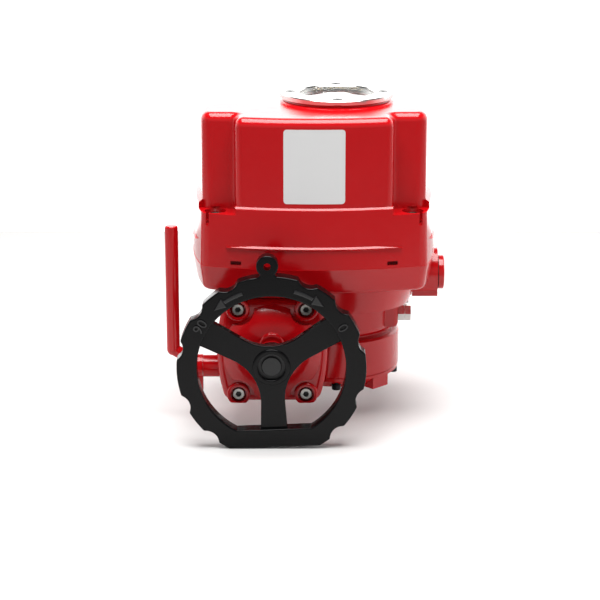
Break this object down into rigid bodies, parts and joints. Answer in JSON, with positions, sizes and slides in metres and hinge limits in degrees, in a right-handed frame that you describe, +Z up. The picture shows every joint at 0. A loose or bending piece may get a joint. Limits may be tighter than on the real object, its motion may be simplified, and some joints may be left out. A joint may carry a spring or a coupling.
{
  "type": "electric valve actuator",
  "caption": "Electric quarter-turn valve actuator: cast case with a deep domed cover, a round dial window, a geared handwheel in front and a declutch lever beside it.",
  "frame": {"origin": "on the output axis, at the bottom face of the lugs that meets the valve flange", "axes": "+Z up along the output axis, away from the valve; -Y towards the handwheel; +X towards the cable entry"},
  "size_m": [0.3052, 0.259, 0.3564],
  "materials": {
    "red_paint": "glossy red polyester coating on cast aluminium",
    "black_casting": "black painted iron casting, satin",
    "stainless": "polished stainless steel",
    "zinc_steel": "bright zinc-plated steel",
    "hard_steel": "ground hardened steel",
    "bronze": "machined tin bronze",
    "rubber": "matt black nitrile rubber",
    "clear_glass": "clear tempered glass",
    "bare_aluminium": "milled aluminium",
    "motor_enamel": "dark grey enamel",
    "dial_plastic": "yellow moulded plastic",
    "black_plastic": "black moulded plastic",
    "grey_plastic": "light grey moulded plastic"
  },
  "bodies": {
    "housing": {"base_housing": "red_paint", "mounting_plate": "red_paint", "mounting_plate_screws": "stainless", "top_cover": "red_paint", "cover_seal": "rubber", "cover_bolts": "stainless", "window_bezel": "stainless", "bezel_screws": "stainless", "window_glass": "clear_glass", "window_gasket": "rubber", "gear_cover": "red_paint", "gear_cover_gasket": "rubber", "gear_cover_screws": "stainless", "worm_end_cap": "red_paint", "worm_end_cap_screws": "stainless", "front_worm_bearing": "hard_steel", "rear_worm_bearing": "hard_steel", "idler_pin": "hard_steel", "motor_body": "motor_enamel", "motor_plate": "bare_aluminium", "stop_bolts": "stainless", "stop_lock_nuts": "stainless", "upper_output_bush": "bronze", "lower_output_bush": "bronze", "output_seal": "rubber", "handwheel_bush": "bronze", "handwheel_seal": "rubber", "conduit_plug": "red_paint", "conduit_oring": "rubber", "deck_posts": "zinc_steel", "control_deck": "bare_aluminium", "terminal_block": "grey_plastic", "limit_switches": "black_plastic", "switch_bracket": "zinc_steel", "capacitor": "grey_plastic", "heater": "bare_aluminium", "earth_screw": "stainless"},
    "output": {"drive_sleeve": "hard_steel", "worm_wheel": "bronze", "stop_cam": "zinc_steel", "cam_shaft": "zinc_steel", "limit_cams": "dial_plastic", "position_indicator": "dial_plastic"},
    "worm": {"worm_shaft": "hard_steel"},
    "clutch_gear": {"clutch_gear": "hard_steel"},
    "clutch": {"clutch_sleeve": "hard_steel"},
    "idler": {"idler_gear": "hard_steel"},
    "rotor": {"motor_rotor": "hard_steel", "motor_pinion": "hard_steel"},
    "handwheel": {"handwheel": "black_casting", "handwheel_shaft": "zinc_steel", "hub_cap": "grey_plastic"},
    "lever": {"declutch_lever": "red_paint", "lever_shaft": "zinc_steel", "shift_fork": "zinc_steel"}
  },
  "joints": [
    {"name": "worm_turn", "type": "hinge", "parent": "housing", "child": "worm", "pos_m": [-0.07, 0, 0.0565], "axis": [0, 1, 0], "range_deg": [0, 3240]},
    {"name": "output_turn", "type": "hinge", "parent": "housing", "child": "output", "pos_m": [0, 0, 0], "axis": [0, 0, 1], "range_deg": [0, 90]},
    {"name": "clutch_gear_turn", "type": "hinge", "parent": "housing", "child": "clutch_gear", "pos_m": [-0.07, -0.0535, 0.0565], "axis": [0, 1, 0], "range_deg": [0, 3240]},
    {"name": "idler_turn", "type": "hinge", "parent": "housing", "child": "idler", "pos_m": [-0.07, -0.0535, 0.112], "axis": [0, 1, 0], "range_deg": [-4026, 0]},
    {"name": "rotor_turn", "type": "hinge", "parent": "housing", "child": "rotor", "pos_m": [-0.07, -0.0535, 0.1495], "axis": [0, 1, 0], "range_deg": [0, 7814.6]},
    {"name": "clutch_slide", "type": "slide", "parent": "worm", "child": "clutch", "axis": [0, -1, 0], "range_m": [0, 0.0116]},
    {"name": "handwheel_turn", "type": "hinge", "parent": "housing", "child": "handwheel", "pos_m": [-0.07, -0.15, 0.0565], "axis": [0, 1, 0], "continuous": true},
    {"name": "lever_swing", "type": "hinge", "parent": "housing", "child": "lever", "pos_m": [-0.149, -0.071, 0.0318], "axis": [1, 0, 0], "range_deg": [0, 28]}
  ],
  "couplings": [
    {"joint": "output_turn", "follows": "worm_turn", "ratio": 0.027778},
    {"joint": "clutch_gear_turn", "follows": "worm_turn", "ratio": 1},
    {"joint": "idler_turn", "follows": "worm_turn", "ratio": -1.2424},
    {"joint": "rotor_turn", "follows": "worm_turn", "ratio": 2.4118},
    {"joint": "clutch_slide", "follows": "lever_swing", "m_per_rad": 0.023728}
  ]
}
